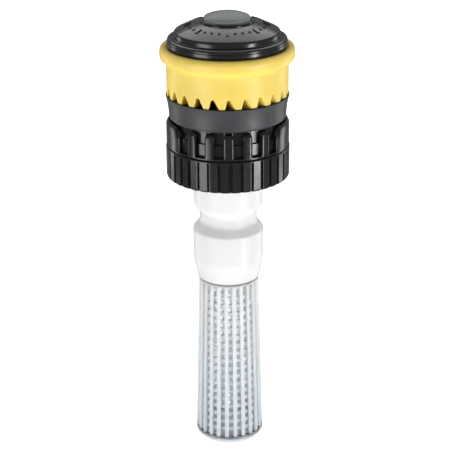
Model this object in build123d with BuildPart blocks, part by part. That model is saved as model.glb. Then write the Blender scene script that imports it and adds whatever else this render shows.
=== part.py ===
"""Multi-stream rotary nozzle with a screen, for the riser of a pop-up sprinkler body.

Millimetres, +Z up.  The origin is the centre of the lower rim of the base, where
the riser's thread enters.  The front of the object faces -Y.
"""

from build123d import *
import math
import os

# ---- overall heights and radii -------------------------------------------------
running_gap = 0.05            # radial clearance of a turning or sliding fit
seat_gap = 0.05               # axial clearance between pieces that rest on each other
grip_radius = 12.0            # outer radius of the lower hand ring
fine_edge = 0.1               # small edge break
soft_edge = 0.2               # larger edge break
fixed_gap = 0.02              # radial clearance of pieces pressed together
seal_slack = 0.03             # radial clearance round a seal or a snap-in piece
overrun = 1.0                 # how far a cutter passes the face that it opens
front = -90.0                 # azimuth that faces the viewer

# ---- base ----------------------------------------------------------------------
base_radius = 9.45
base_height = 5.0
web_thickness = 0.7
thread_minor_radius = 7.45
thread_depth = 0.45
thread_pitch = 0.907
thread_start = 0.35
thread_turns = 2.6
thread_root_half = 0.42
thread_crest_half = 0.08
thread_mouth = 0.3
inlet_radius = 4.3
spigot_radius = 5.1
spigot_bottom = 1.5
barrel_inner = 7.7
barrel_outer = 8.5
barrel_bottom = 8.3
barrel_top = 11.0
lip_radius = 8.95
lip_bottom = 10.4
strut_count = 3
strut_angle = 12.0
seal_groove_bottom = 2.6
seal_groove_top = 3.4
seal_groove_radius = 8.95
gasket_fillet = 0.15

# ---- hub -----------------------------------------------------------------------
shaft_radius = 1.2
post_radius = 3.0
post_bottom = 3.0
pocket_radius = 2.45
pocket_top = 8.0
hub_ring_inner = 6.95
hub_ring_top = 10.0
spoke_bottom = 8.4
spoke_top = 9.6
spoke_width = 1.2
boss_radius = 2.0
boss_top = 12.2
key_width = 0.6
key_radius = 2.35
spoke_root = 0.3

# ---- radius ring (lower hand ring) ----------------------------------------------
radius_ring_height = 6.2
radius_ring_bore = 9.6
ring_sleeve_inner = 8.7
ring_sleeve_outer = 9.9
ring_sleeve_top = 8.5
ring_web_bottom = 5.1
ring_foot_edge = 0.3
knurl_count = 36
knurl_width = 0.62
knurl_depth = 0.55
knurl_reach = 0.3
knurl_top = 6.0
knurl_phase = 2.2             # one groove sits this far round from the front
core_inner = 10.3
core_outer = 11.0
core_top = 4.3
core_web_count = 18
core_web_width = 0.8
core_web_bottom = 0.3
keyway_width = 1.5
keyway_depth_radius = 9.4

# ---- throttle nut ---------------------------------------------------------------
nut_bottom = 7.0
nut_top = 8.0
nut_inner = 3.05
nut_outer = 5.2
tab_width = 1.3
tab_reach = 9.3
tab_root = 0.6
tab_phase = 12.4              # tabs start this far past a strut

# ---- arc ring (upper hand ring) --------------------------------------------------
arc_grip_radius = 11.88
arc_ring_bottom = 6.36
arc_ring_inner = 10.05
arc_rim_top = 6.75
arc_lower_wall_radius = 11.0
arc_step_height = 9.2
arc_upper_wall_radius = 10.6
arc_wall_top = 11.74
rib_pitch = 18.0
rib_angle = 8.6
rib_top = 11.34
rib_phase = 0.6
rib_root = 0.2
rib_foot = 0.3
rib_bevel_depth = 0.4
rib_bevel_height = 0.5
ribs_per_side = 5
lug_angle = 78.0
lug_top = 11.4
lug_pocket_angle = 66.0
lug_pocket_floor = 8.2
lug_wall = 0.65
lug_bevel_depth = 0.5
lug_bevel_height = 0.85
lug_end_drop = 0.9            # the end walls stop this far below the outer wall
spline_count = 12
spline_width = 0.8
spline_depth = 0.25

# ---- nozzle housing ---------------------------------------------------------------
housing_sleeve_inner = 9.05
housing_sleeve_outer = 9.95
housing_sleeve_bottom = 8.95
snap_radius = 8.62
snap_bottom = 9.3
snap_top = 10.25
skirt_bottom = 11.84
skirt_bottom_radius = 11.3
housing_top = 16.26
orifice_radius = 3.95
orifice_wall_radius = 4.7
orifice_bottom = 10.9
deck_slope = 0.275
deck_thickness = 1.3
deck_edge_radius = 11.45
deck_drop = 0.35
skirt_bulge = 0.2
housing_seal_inner = 8.0
housing_seal_bottom = 11.1
housing_seal_top = 11.9

# ---- valve ------------------------------------------------------------------------
valve_lead = 1.2
valve_bottom = 10.6
valve_top = 12.9
valve_bore = 2.05
valve_body_radius = 2.95
valve_shelf_radius = 3.85
valve_shelf_thickness = 0.5
shelf_root = 0.2

# ---- deflector ----------------------------------------------------------------------
deflector_radius = 11.69
deflector_bottom = 16.36
deflector_top = 25.65
lip_start = 22.0
lip_widest_radius = 12.9
lip_middle_reach = 0.3
lip_middle_rise = 0.65
lip_shoulder_reach = 0.1
lip_shoulder_rise = 0.95
lip_top_reach = 0.6
lip_widest = 24.1
vane_hub_radius = 3.2
vane_hub_bottom = 13.5
channel_count = 24
channel_height = 1.88
channel_top_width = 0.75
channel_bottom_left = 0.68
channel_bottom_right = 1.12
channel_slope = 0.43
channel_lead = -14.0          # how far each channel is turned off the radius
channel_inner_scale = 0.3
channel_phase = 1.6
channel_overrun = 0.6
channel_roof_drop = 0.3
chamber_radius = 10.4
chamber_floor_outer = 19.2
chamber_floor_inner = 16.6
column_radius = 3.6
column_top = 20.4
bearing_radius = 2.2
bearing_bottom = 15.4
seal_pocket_radius = 2.6
seal_retainer_thickness = 0.5
cap_seat = 25.4
cap_seat_radius = 11.6

# ---- cap and centre plug --------------------------------------------------------------
flange_radius = 11.45
flange_bottom = 25.45
flange_top = 27.4
flange_bevel = 0.4
flange_step = 0.3
flange_groove = 0.2
dome_edge_radius = 10.15
dome_edge = 28.5
dome_inner_radius = 5.3
dome_top = 30.1
dome_bevel = 0.7
dome_bulge = 0.15
dome_skin = 1.7
moat_inner = 5.0
moat_floor = 29.9
well_radius = 4.5
well_rim = 30.6
well_floor = 29.2
well_skin = 0.8
cap_spigot_outer = 10.3
cap_spigot_inner = 9.4
cap_spigot_bottom = 23.5
cap_shoulder = 1.3
plug_radius = 4.4
plug_rim = 30.8
plug_top = 32.1
plug_bevel = 0.35
tick_count = 32
tick_radius = 7.5
tick_length = 1.25
tick_width = 0.42
tick_height = 0.18
tick_lift = 0.13

# ---- brake ------------------------------------------------------------------------------
plate_thickness = 0.6
plate_radius = 8.0
pad_thickness = 0.8
pad_inner = 2.8
pad_radius = 6.5
pad_notch_width = 0.5
pad_notch_depth = 0.35
pad_notch_count = 6
brake_flange = 0.8
brake_hub_radius = 2.6
brake_hub_top = 25.0
washer_thickness = 0.35
clip_thickness = 0.4
clip_radius = 2.3
clip_groove_radius = 0.95
clip_opening = 1.5
shaft_bottom = -2.3
shaft_top = 26.6

# ---- spring -----------------------------------------------------------------------------
spring_radius = 1.95
spring_wire = 0.3
spring_turns = 6.0
retainer_radius = 2.35
retainer_thickness = 0.5
retainer_bottom = -2.0

# ---- filter -----------------------------------------------------------------------------
filter_flange_radius = 7.2
filter_flange_bottom = 2.9
filter_flange_top = 3.5
collar_radius = 6.8
collar_bottom = -6.2
neck_radius = 5.68
neck_top = -7.7
neck_bottom = -9.8
seat_radius = 7.0
seat_top = -11.2
seat_bottom = -17.5
taper_radius = 6.25
taper_bottom = -21.5
filter_wall = 0.95
filter_seat_wall = 1.3
seat_inner_bevel = 0.25
socket_radius = 5.3
socket_top = -19.4
basket_top = -21.75
basket_top_radius = 5.97
basket_bottom = -57.6
basket_bottom_radius = 6.95
basket_wall = 1.1
basket_floor = 1.2
basket_foot = 1.3
basket_neck_drop = 0.6
basket_floor_bevel = 0.5
slot_columns = 24
slot_angle = 8.0
slot_phase = 2.5
slot_depth = 0.6
slot_top = -22.3
slot_bottom = -55.7
ring_rows = 19
ring_pitch = 1.72
row_gap = 0.87
first_row_top = -22.6
first_row_height = 1.75
row_bite = 0.12
spigot_collar_inner = 4.4

os.makedirs("parts", exist_ok=True)


def turned(points, mode=Mode.ADD, arc=360.0, start=0.0):
    """Turn a closed (radius, height) outline about the Z axis."""
    with BuildSketch(Plane.XZ) as outline:
        with BuildLine():
            Polyline(*points, close=True)
        make_face()
    profile = outline.sketch.rotate(Axis.Z, start)
    revolve(profile, axis=Axis.Z, revolution_arc=arc, mode=mode)


def tube(inner, outer, bottom, top, mode=Mode.ADD):
    """A plain ring with a square section, or a disc where the inner radius is nothing."""
    with BuildSketch(Plane.XY.offset(bottom)) as section:
        Circle(outer)
        if inner > 0:
            Circle(inner, mode=Mode.SUBTRACT)
    extrude(section.sketch, amount=top - bottom, mode=mode)


def sector(inner, outer, bottom, top, angle, centre, mode=Mode.ADD):
    """A part ring, `angle` degrees wide about the azimuth `centre`."""
    points = [(inner, bottom), (outer, bottom), (outer, top), (inner, top)]
    turned(points, mode=mode, arc=angle, start=centre - angle / 2)


def radial_bar(inner, outer, width, bottom, top, count, start, mode=Mode.ADD):
    """Straight bars pointing away from the axis, evenly spaced."""
    with BuildSketch(Plane.XY.offset(bottom)) as bars:
        with PolarLocations((inner + outer) / 2, count, start_angle=start):
            Rectangle(outer - inner, width)
    extrude(bars.sketch, amount=top - bottom, mode=mode)


def finish(builder, label):
    """Name a finished piece and write it."""
    builder.part.label = label
    export_step(builder.part, "parts/" + label + ".step")


# ---- base: threaded skirt, inlet web, struts and upper barrel ---------------------------
web_bottom = base_height - web_thickness
with BuildPart() as thread_cutter:
    with BuildLine() as thread_path:
        Helix(thread_pitch, thread_pitch * thread_turns, thread_minor_radius, center=(0, 0, thread_start))
    thread_plane = Plane(origin=(thread_minor_radius, 0, thread_start), z_dir=(0, 1, 0), x_dir=(1, 0, 0))
    with BuildSketch(thread_plane):
        with BuildLine():
            Polyline(
                (-soft_edge, -thread_root_half),
                (thread_depth, -thread_crest_half),
                (thread_depth, thread_crest_half),
                (-soft_edge, thread_root_half),
                close=True,
            )
        make_face()
    sweep(path=thread_path.wire(), is_frenet=True)

with BuildPart() as base:
    turned(
        [
            (thread_minor_radius, thread_mouth),
            (thread_minor_radius + thread_mouth, 0),
            (base_radius - soft_edge, 0),
            (base_radius, soft_edge),
            (base_radius, seal_groove_bottom),
            (seal_groove_radius, seal_groove_bottom),
            (seal_groove_radius, seal_groove_top),
            (base_radius, seal_groove_top),
            (base_radius, base_height),
            (inlet_radius, base_height),
            (inlet_radius, spigot_bottom),
            (spigot_radius, spigot_bottom),
            (spigot_radius, web_bottom),
            (thread_minor_radius, web_bottom),
        ]
    )
    add(thread_cutter.part, mode=Mode.SUBTRACT)
    turned(
        [
            (barrel_inner, barrel_bottom),
            (barrel_outer, barrel_bottom),
            (barrel_outer, lip_bottom),
            (lip_radius, lip_bottom),
            (lip_radius, barrel_top - soft_edge),
            (lip_radius - soft_edge, barrel_top),
            (barrel_inner, barrel_top),
        ]
    )
    for strut in range(strut_count):
        azimuth = front + strut * 360 / strut_count
        sector(barrel_inner, barrel_outer, base_height, barrel_bottom, strut_angle, azimuth)
finish(base, "base")

# ---- hub: shaft guide, spring pocket and three spokes pressed into the barrel ------------
guide_radius = shaft_radius + running_gap
hub_ring_outer = barrel_inner - fixed_gap
with BuildPart() as hub:
    tube(hub_ring_inner, hub_ring_outer, spoke_bottom, hub_ring_top)
    radial_bar(
        boss_radius, hub_ring_inner + spoke_root, spoke_width,
        spoke_bottom, spoke_top, strut_count, front,
    )
    turned(
        [
            (pocket_radius, post_bottom),
            (post_radius - fine_edge, post_bottom),
            (post_radius, post_bottom + fine_edge),
            (post_radius, spoke_top),
            (boss_radius, spoke_top),
            (boss_radius, boss_top - soft_edge),
            (boss_radius - soft_edge, boss_top),
            (guide_radius, boss_top),
            (guide_radius, pocket_top),
            (pocket_radius, pocket_top),
        ]
    )
    radial_bar(boss_radius - spoke_root, key_radius, key_width, spoke_top, boss_top - spoke_root, 2, 0)
    tube(0, guide_radius, pocket_top - overrun, boss_top + overrun, mode=Mode.SUBTRACT)
finish(hub, "hub")

# ---- gasket under the web, squeezed by the filter's flange -------------------------------
with BuildPart() as riser_gasket:
    tube(
        spigot_radius + seat_gap, thread_minor_radius - fine_edge,
        filter_flange_top + seat_gap, web_bottom - seat_gap,
    )
    edges = riser_gasket.edges().filter_by(GeomType.CIRCLE)
    fillet(edges, radius=gasket_fillet)
finish(riser_gasket, "riser_gasket")

# ---- O-ring between the base and the radius ring -----------------------------------------
seal_section = (radius_ring_bore - seal_groove_radius) / 2 - seal_slack
with BuildPart() as radius_ring_seal:
    with Locations((0, 0, (seal_groove_bottom + seal_groove_top) / 2)):
        Torus((radius_ring_bore + seal_groove_radius) / 2, seal_section)
finish(radius_ring_seal, "radius_ring_seal")

# ---- radius ring: knurled lower hand ring with three keyways ------------------------------
with BuildPart() as radius_ring:
    turned(
        [
            (radius_ring_bore, 0),
            (grip_radius - ring_foot_edge, 0),
            (grip_radius, ring_foot_edge),
            (grip_radius, radius_ring_height - soft_edge),
            (grip_radius - soft_edge, radius_ring_height),
            (ring_sleeve_outer, radius_ring_height),
            (ring_sleeve_outer, ring_sleeve_top),
            (ring_sleeve_inner, ring_sleeve_top),
            (ring_sleeve_inner, ring_web_bottom),
            (radius_ring_bore, ring_web_bottom),
        ]
    )
    with BuildSketch(Plane.XY.offset(-overrun)) as knurl:
        with PolarLocations(grip_radius, knurl_count, start_angle=front + knurl_phase):
            Polygon(
                (knurl_reach, -knurl_width / 2 - running_gap),
                (knurl_reach, knurl_width / 2 + running_gap),
                (0, knurl_width / 2),
                (-knurl_depth, knurl_width / 4),
                (-knurl_depth, -knurl_width / 4),
                (0, -knurl_width / 2),
                align=None,
            )
    extrude(knurl.sketch, amount=knurl_top + overrun, mode=Mode.SUBTRACT)
    tube(core_inner, core_outer, -overrun, core_top, mode=Mode.SUBTRACT)
    radial_bar(
        core_inner - soft_edge, core_outer + soft_edge, core_web_width,
        core_web_bottom, core_top, core_web_count, front,
    )
    keyway_start = front + tab_phase
    radial_bar(
        ring_sleeve_inner - overrun, keyway_depth_radius, keyway_width,
        ring_web_bottom - overrun, ring_sleeve_top + overrun, strut_count, keyway_start, mode=Mode.SUBTRACT,
    )
finish(radius_ring, "radius_ring")

# ---- thrust washer between the two hand rings ---------------------------------------------
with BuildPart() as adjuster_washer:
    tube(
        ring_sleeve_inner + running_gap, ring_sleeve_outer - running_gap,
        ring_sleeve_top + seat_gap, housing_sleeve_bottom - 2 * seat_gap,
    )
finish(adjuster_washer, "adjuster_washer")

# ---- throttle nut: slides on the hub's post, turned by tabs in the keyways ------------------
with BuildPart() as throttle_nut:
    tube(nut_inner, nut_outer, nut_bottom, nut_top)
    radial_bar(
        nut_outer - tab_root, tab_reach, tab_width,
        nut_bottom, nut_top, strut_count, front + tab_phase,
    )
finish(throttle_nut, "throttle_nut")

# ---- arc ring: ribbed upper hand ring with two hollow grip lugs -----------------------------
with BuildPart() as arc_ring:
    turned(
        [
            (arc_ring_inner, arc_ring_bottom),
            (arc_grip_radius - fine_edge, arc_ring_bottom),
            (arc_grip_radius, arc_ring_bottom + fine_edge),
            (arc_grip_radius, arc_rim_top - fine_edge),
            (arc_grip_radius - fine_edge, arc_rim_top),
            (arc_lower_wall_radius, arc_rim_top),
            (arc_lower_wall_radius, arc_step_height - fine_edge),
            (arc_lower_wall_radius - fine_edge, arc_step_height),
            (arc_upper_wall_radius, arc_step_height),
            (arc_upper_wall_radius, arc_wall_top),
            (arc_ring_inner, arc_wall_top),
        ]
    )
    for side in (0, 180):
        for rib in range(ribs_per_side):
            azimuth = front + side + rib_phase + (rib - (ribs_per_side - 1) / 2) * rib_pitch
            turned(
                [
                    (arc_upper_wall_radius - rib_root, arc_rim_top - rib_foot),
                    (arc_grip_radius - fixed_gap, arc_rim_top - rib_foot),
                    (arc_grip_radius - fixed_gap, rib_top - rib_bevel_height),
                    (arc_grip_radius - rib_bevel_depth, rib_top),
                    (arc_upper_wall_radius - rib_root, rib_top),
                ],
                arc=rib_angle,
                start=azimuth - rib_angle / 2,
            )
        lug_centre = front + 90 + side
        turned(
            [
                (arc_upper_wall_radius - rib_root, arc_rim_top - rib_foot),
                (arc_grip_radius, arc_rim_top - rib_foot),
                (arc_grip_radius, lug_top - lug_end_drop - fine_edge),
                (arc_grip_radius - fine_edge, lug_top - lug_end_drop),
                (arc_upper_wall_radius - rib_root, lug_top - lug_end_drop),
            ],
            arc=lug_angle,
            start=lug_centre - lug_angle / 2,
        )
        turned(
            [
                (arc_grip_radius - lug_wall, arc_rim_top),
                (arc_grip_radius, arc_rim_top),
                (arc_grip_radius, lug_top - lug_bevel_height),
                (arc_grip_radius - lug_bevel_depth, lug_top),
                (arc_grip_radius - lug_wall, lug_top),
            ],
            arc=lug_pocket_angle,
            start=lug_centre - lug_pocket_angle / 2,
        )
        sector(
            arc_upper_wall_radius, arc_grip_radius - lug_wall, lug_pocket_floor, lug_top + overrun,
            lug_pocket_angle, lug_centre, mode=Mode.SUBTRACT,
        )
    radial_bar(
        housing_sleeve_inner, arc_ring_inner + spline_depth, spline_width + 2 * running_gap,
        arc_ring_bottom - overrun, arc_wall_top + overrun, spline_count, front, mode=Mode.SUBTRACT,
    )
finish(arc_ring, "arc_ring")


# ---- nozzle housing: flared skirt, conical deck, orifice tube and splined sleeve -------------
def deck_height(radius):
    """Height of the housing's upper cone at a radius."""
    return housing_top - deck_drop + deck_slope * (radius - deck_edge_radius)


with BuildPart() as nozzle_housing:
    with BuildSketch(Plane.XZ):
        with BuildLine():
            Polyline(
                (housing_sleeve_outer, skirt_bottom),
                (skirt_bottom_radius - fine_edge, skirt_bottom),
                (skirt_bottom_radius, skirt_bottom + fine_edge),
            )
            ThreePointArc(
                (skirt_bottom_radius, skirt_bottom + fine_edge),
                (skirt_bottom_radius + skirt_bulge, (skirt_bottom + housing_top) / 2 + skirt_bulge),
                (arc_grip_radius, housing_top - fine_edge),
            )
            Polyline(
                (arc_grip_radius, housing_top - fine_edge),
                (arc_grip_radius - fine_edge, housing_top),
                (deflector_radius - fine_edge, housing_top),
                (deck_edge_radius, deck_height(deck_edge_radius)),
                (orifice_radius, deck_height(orifice_radius)),
                (orifice_radius, orifice_bottom),
                (orifice_wall_radius, orifice_bottom),
                (orifice_wall_radius, deck_height(orifice_wall_radius) - deck_thickness),
                (housing_sleeve_inner, deck_height(housing_sleeve_inner) - deck_thickness),
                (housing_sleeve_inner, snap_top),
                (snap_radius, snap_top - fine_edge),
                (snap_radius, snap_bottom + soft_edge),
                (housing_sleeve_inner, snap_bottom - soft_edge),
                (housing_sleeve_inner, housing_sleeve_bottom),
                (housing_sleeve_outer, housing_sleeve_bottom),
                (housing_sleeve_outer, skirt_bottom),
            )
        make_face()
    revolve(axis=Axis.Z)
    radial_bar(
        housing_sleeve_outer - spline_depth, arc_ring_inner + spline_depth - running_gap, spline_width,
        housing_sleeve_bottom, skirt_bottom - fine_edge, spline_count, front,
    )
finish(nozzle_housing, "nozzle_housing")

# ---- seal above the base's snap lip, carried by the housing -----------------------------------
with BuildPart() as housing_seal:
    tube(housing_seal_inner, housing_sleeve_inner - seat_gap, housing_seal_bottom, housing_seal_top)
    edges = housing_seal.edges().filter_by(GeomType.CIRCLE)
    fillet(edges, radius=soft_edge)
finish(housing_seal, "housing_seal")

# ---- valve sleeve: keyed to the hub, with one turn of helical shelf ----------------------------
shelf_middle = (valve_body_radius + valve_shelf_radius) / 2
shelf_start = valve_bottom + valve_shelf_thickness / 2 + fine_edge
shelf_section = valve_shelf_radius - valve_body_radius + shelf_root
with BuildPart() as helical_shelf:
    with BuildLine() as shelf_path:
        Helix(valve_lead, valve_lead, shelf_middle, center=(0, 0, shelf_start))
    with BuildSketch(Plane(origin=(shelf_middle, 0, shelf_start), z_dir=(0, 1, 0), x_dir=(1, 0, 0))):
        with Locations((-shelf_root / 2, 0)):
            Rectangle(shelf_section, valve_shelf_thickness)
    sweep(path=shelf_path.wire(), is_frenet=True)

with BuildPart() as valve_sleeve:
    tube(valve_bore, valve_body_radius, valve_bottom, valve_top)
    add(helical_shelf.part)
    radial_bar(
        boss_radius / 2, key_radius + 2 * running_gap, key_width + 2 * running_gap,
        valve_bottom - overrun, valve_top + overrun, 2, 0, mode=Mode.SUBTRACT,
    )
finish(valve_sleeve, "valve_sleeve")

# ---- shaft with a groove near the top for the retaining ring -----------------------------------
clip_bottom = brake_hub_top + seat_gap + washer_thickness + seat_gap
with BuildPart() as shaft:
    turned(
        [
            (0, shaft_bottom),
            (shaft_radius - soft_edge, shaft_bottom),
            (shaft_radius, shaft_bottom + soft_edge),
            (shaft_radius, clip_bottom),
            (clip_groove_radius, clip_bottom),
            (clip_groove_radius, clip_bottom + clip_thickness + 2 * fixed_gap),
            (shaft_radius, clip_bottom + clip_thickness + 2 * fixed_gap),
            (shaft_radius, shaft_top - soft_edge),
            (shaft_radius - soft_edge, shaft_top),
            (0, shaft_top),
        ]
    )
finish(shaft, "shaft")

# ---- spring retainer pressed on the shaft's lower end -------------------------------------------
with BuildPart() as spring_retainer:
    turned(
        [
            (shaft_radius, retainer_bottom),
            (retainer_radius - fine_edge, retainer_bottom),
            (retainer_radius, retainer_bottom + fine_edge),
            (retainer_radius, retainer_bottom + retainer_thickness),
            (shaft_radius, retainer_bottom + retainer_thickness),
        ]
    )
finish(spring_retainer, "spring_retainer")

# ---- lift spring: compression coil between the retainer and the hub's pocket --------------------
spring_bottom = retainer_bottom + retainer_thickness + seat_gap
spring_rise = pocket_top - seat_gap - spring_bottom - 2 * spring_wire
spring_pitch = spring_rise / spring_turns
spring_start = spring_bottom + spring_wire
with BuildPart() as lift_spring:
    with BuildLine() as coil:
        Helix(spring_pitch, spring_rise, spring_radius, center=(0, 0, spring_start))
    with BuildSketch(Plane(origin=(spring_radius, 0, spring_start), z_dir=(0, 1, 0), x_dir=(1, 0, 0))):
        Circle(spring_wire)
    sweep(path=coil.wire(), is_frenet=True)
finish(lift_spring, "lift_spring")

# ---- brake: steel plate, friction pad and hub ------------------------------------------------------
plate_bottom = column_top + seat_gap
pad_bottom = plate_bottom + plate_thickness + seat_gap
flange_base = pad_bottom + pad_thickness
with BuildPart() as brake_plate:
    tube(bearing_radius + soft_edge, plate_radius, plate_bottom, plate_bottom + plate_thickness)
finish(brake_plate, "brake_plate")

with BuildPart() as brake_pad:
    tube(pad_inner, pad_radius, pad_bottom, flange_base)
    radial_bar(
        pad_inner - overrun, pad_radius + overrun, pad_notch_width,
        flange_base - pad_notch_depth, flange_base + overrun, pad_notch_count, 0, mode=Mode.SUBTRACT,
    )
finish(brake_pad, "brake_pad")

with BuildPart() as brake_hub:
    turned(
        [
            (shaft_radius, flange_base),
            (pad_radius, flange_base),
            (pad_radius, flange_base + brake_flange),
            (brake_hub_radius, flange_base + brake_flange),
            (brake_hub_radius, brake_hub_top),
            (shaft_radius, brake_hub_top),
        ]
    )
finish(brake_hub, "brake_hub")

washer_bottom = brake_hub_top + seat_gap
with BuildPart() as thrust_washer:
    tube(
        shaft_radius + running_gap, brake_hub_radius - fine_edge,
        washer_bottom, washer_bottom + washer_thickness,
    )
finish(thrust_washer, "thrust_washer")

# ---- retaining ring: an open clip in the shaft's groove ---------------------------------------------
with BuildPart() as retaining_ring:
    tube(
        clip_groove_radius + fixed_gap, clip_radius,
        clip_bottom + fixed_gap, clip_bottom + fixed_gap + clip_thickness,
    )
    with Locations((clip_radius, 0, clip_bottom + clip_thickness / 2)):
        Box(2 * clip_radius, clip_opening, 2 * clip_thickness, mode=Mode.SUBTRACT)
finish(retaining_ring, "retaining_ring")

# ---- deflector bearing, shaft seal and its retainer ---------------------------------------------------
with BuildPart() as deflector_bearing:
    tube(shaft_radius + running_gap, bearing_radius, bearing_bottom, column_top)
finish(deflector_bearing, "deflector_bearing")

seal_bottom = vane_hub_bottom + seal_retainer_thickness + seat_gap
with BuildPart() as shaft_seal:
    tube(
        shaft_radius + seal_slack, seal_pocket_radius - seal_slack,
        seal_bottom, bearing_bottom - fine_edge,
    )
    edges = shaft_seal.edges().filter_by(GeomType.CIRCLE)
    fillet(edges, radius=soft_edge)
finish(shaft_seal, "shaft_seal")

with BuildPart() as seal_retainer:
    tube(
        shaft_radius + 3 * running_gap, seal_pocket_radius,
        vane_hub_bottom, vane_hub_bottom + seal_retainer_thickness,
    )
finish(seal_retainer, "seal_retainer")

# ---- deflector: outer wall, rolled lip and 24 stream channels underneath --------------------------------
channel_run = deflector_radius + channel_overrun - vane_hub_radius


def channel_outline(plane, scale):
    """Section of one stream channel, lying on a plane that faces along the channel."""
    with BuildSketch(plane) as outline:
        with BuildLine():
            Polyline(
                (-channel_bottom_left * scale, -channel_height - channel_overrun),
                (-channel_bottom_left * scale, -channel_height),
                (-channel_top_width / 2 * scale, -channel_roof_drop),
                (-channel_top_width / 4 * scale, 0),
                (channel_top_width / 4 * scale, 0),
                (channel_top_width / 2 * scale, -channel_roof_drop),
                (channel_bottom_right * scale, -channel_height),
                (channel_bottom_right * scale, -channel_height - channel_overrun),
                close=True,
            )
        make_face()
    return outline.sketch.face()


channel_top = deflector_bottom + channel_height
lead = math.radians(channel_lead)
outer_point = (deflector_radius + channel_overrun, 0, channel_top + channel_overrun * channel_slope)
inner_point = (
    outer_point[0] - channel_run * math.cos(lead),
    channel_run * math.sin(lead),
    outer_point[2] - channel_run * channel_slope,
)
outer_plane = Plane(origin=outer_point, x_dir=(0, 1, 0), z_dir=(1, 0, 0))
inner_plane = Plane(origin=inner_point, x_dir=(0, 1, 0), z_dir=(1, 0, 0))
with BuildPart() as channel_cutter:
    loft([channel_outline(inner_plane, channel_inner_scale), channel_outline(outer_plane, 1)], ruled=True)

with BuildPart() as deflector:
    with BuildSketch(Plane.XZ):
        with BuildLine():
            Polyline(
                (chamber_radius, cap_seat),
                (chamber_radius, chamber_floor_outer),
                (column_radius, chamber_floor_inner),
                (column_radius, column_top),
                (bearing_radius, column_top),
                (bearing_radius, bearing_bottom),
                (seal_pocket_radius, bearing_bottom),
                (seal_pocket_radius, vane_hub_bottom),
                (vane_hub_radius - soft_edge, vane_hub_bottom),
                (vane_hub_radius, deflector_bottom - deck_slope * (deflector_radius - vane_hub_radius)),
                (deflector_radius, deflector_bottom),
                (deflector_radius, lip_start),
            )
            Spline(
                (deflector_radius, lip_start),
                (deflector_radius + lip_middle_reach, lip_start + lip_middle_rise),
                (lip_widest_radius, lip_widest),
                tangents=[(0, 1), (0, 1)],
            )
            ThreePointArc(
                (lip_widest_radius, lip_widest),
                (lip_widest_radius - lip_shoulder_reach, lip_widest + lip_shoulder_rise),
                (lip_widest_radius - lip_top_reach, deflector_top),
            )
            Polyline(
                (lip_widest_radius - lip_top_reach, deflector_top),
                (cap_seat_radius + fine_edge, deflector_top),
                (cap_seat_radius, deflector_top - fine_edge),
                (cap_seat_radius, cap_seat),
                (chamber_radius, cap_seat),
            )
        make_face()
    revolve(axis=Axis.Z)
    with PolarLocations(0, channel_count, start_angle=front + channel_phase):
        add(channel_cutter.part, mode=Mode.SUBTRACT)
finish(deflector, "deflector")

# ---- cap: stepped flange, domed top with raised ticks and a well for the plug ----------------------------
with BuildPart() as deflector_cap:
    with BuildSketch(Plane.XZ):
        with BuildLine():
            Polyline(
                (0, well_floor),
                (well_radius, well_floor),
                (well_radius, well_rim - fine_edge),
                (well_radius + fine_edge, well_rim),
                (moat_inner - soft_edge, well_rim),
                (moat_inner, well_rim - soft_edge),
                (moat_inner, moat_floor),
                (dome_inner_radius - fine_edge, moat_floor),
                (dome_inner_radius, dome_top - fine_edge),
                (dome_inner_radius + fine_edge, dome_top),
            )
            ThreePointArc(
                (dome_inner_radius + fine_edge, dome_top),
                ((dome_inner_radius + dome_edge_radius) / 2, (dome_top + dome_edge) / 2 + dome_bulge),
                (dome_edge_radius - dome_bevel, dome_edge),
            )
            Polyline(
                (dome_edge_radius - dome_bevel, dome_edge),
                (dome_edge_radius, dome_edge - dome_bevel),
                (dome_edge_radius, flange_top + fine_edge),
                (dome_edge_radius - fine_edge, flange_top),
                (dome_edge_radius - fine_edge, flange_top - flange_groove),
                (dome_edge_radius + flange_step, flange_top - flange_groove),
                (dome_edge_radius + flange_step, flange_top),
                (flange_radius - flange_bevel, flange_top),
                (flange_radius, flange_top - flange_bevel),
                (flange_radius, flange_bottom),
                (cap_spigot_outer, flange_bottom),
                (cap_spigot_outer, cap_spigot_bottom),
                (cap_spigot_inner, cap_spigot_bottom),
                (cap_spigot_inner, flange_bottom + cap_shoulder),
                (dome_inner_radius, dome_top - dome_skin),
                (well_radius, well_floor - well_skin),
                (0, well_floor - well_skin),
                (0, well_floor),
            )
        make_face()
    revolve(axis=Axis.Z)
    tick_drop = math.degrees(math.atan2(dome_top - dome_edge, dome_edge_radius - dome_inner_radius))
    dome_fall = (tick_radius - dome_inner_radius) * math.tan(math.radians(tick_drop))
    tick_middle = dome_top - dome_fall + tick_lift
    with PolarLocations(0, tick_count, start_angle=front):
        with Locations(Location((tick_radius, 0, tick_middle), (0, tick_drop, 0))):
            Box(tick_length, tick_width, 2 * tick_height)
finish(deflector_cap, "deflector_cap")

plug_edge = plug_radius - plug_bevel
plug_shoulder = plug_rim + plug_bevel
plug_sag = plug_top - plug_shoulder
plug_sphere = (plug_edge**2 + plug_sag**2) / (2 * plug_sag)
plug_middle = plug_top - plug_sphere + math.sqrt(plug_sphere**2 - (plug_edge / 2) ** 2)
with BuildPart() as centre_plug:
    with BuildSketch(Plane.XZ):
        with BuildLine():
            Polyline(
                (0, plug_top),
                (0, well_floor + seat_gap),
                (plug_radius, well_floor + seat_gap),
                (plug_radius, plug_rim),
            )
            ThreePointArc(
                (plug_radius, plug_rim),
                (plug_radius - fine_edge, plug_rim + 2.5 * fine_edge),
                (plug_edge, plug_shoulder),
            )
            ThreePointArc((plug_edge, plug_shoulder), (plug_edge / 2, plug_middle), (0, plug_top))
        make_face()
    revolve(axis=Axis.Z)
finish(centre_plug, "centre_plug")

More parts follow.
